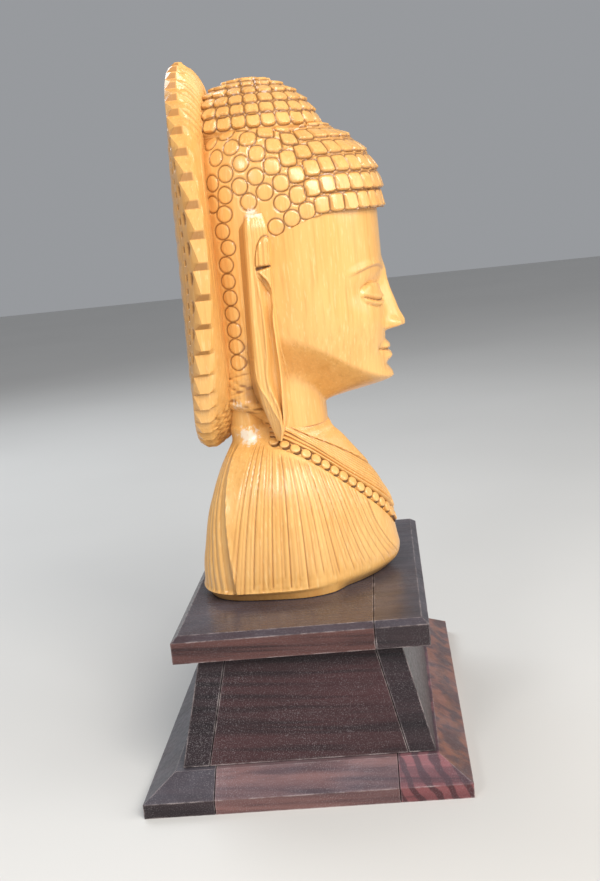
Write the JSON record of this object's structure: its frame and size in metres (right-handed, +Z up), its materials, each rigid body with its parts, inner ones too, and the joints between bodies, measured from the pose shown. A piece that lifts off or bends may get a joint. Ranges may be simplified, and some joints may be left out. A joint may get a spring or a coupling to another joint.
{
  "type": "wooden buddha bust",
  "caption": "Carved pale wooden bust with a toothed halo, curled hair, long ears and a pleated robe, on a tapered dark wooden plinth.",
  "frame": {"origin": "middle of the plinth's underside", "axes": "+Z up, the figure looks along -Y, +X is its left side"},
  "size_m": [0.154, 0.11, 0.25],
  "materials": {
    "pale_wood": "golden pale wood under a clear gloss varnish",
    "red_brown_wood": "dark red-brown rosewood, satin varnish, dusty",
    "dark_wood": "very dark brown rosewood, satin varnish, dusty, pale worn edges",
    "pink_wood": "dark wood with pink-red stripes, satin varnish, dusty"
  },
  "bodies": {
    "root": {"bust": "pale_wood", "cap_main_board": "red_brown_wood", "cap_front_block": "dark_wood", "body_core": "red_brown_wood", "body_front_board": "dark_wood", "body_back_board": "dark_wood", "foot_middle": "red_brown_wood", "foot_front_rail": "pink_wood", "foot_back_rail": "dark_wood"}
  },
  "joints": []
}
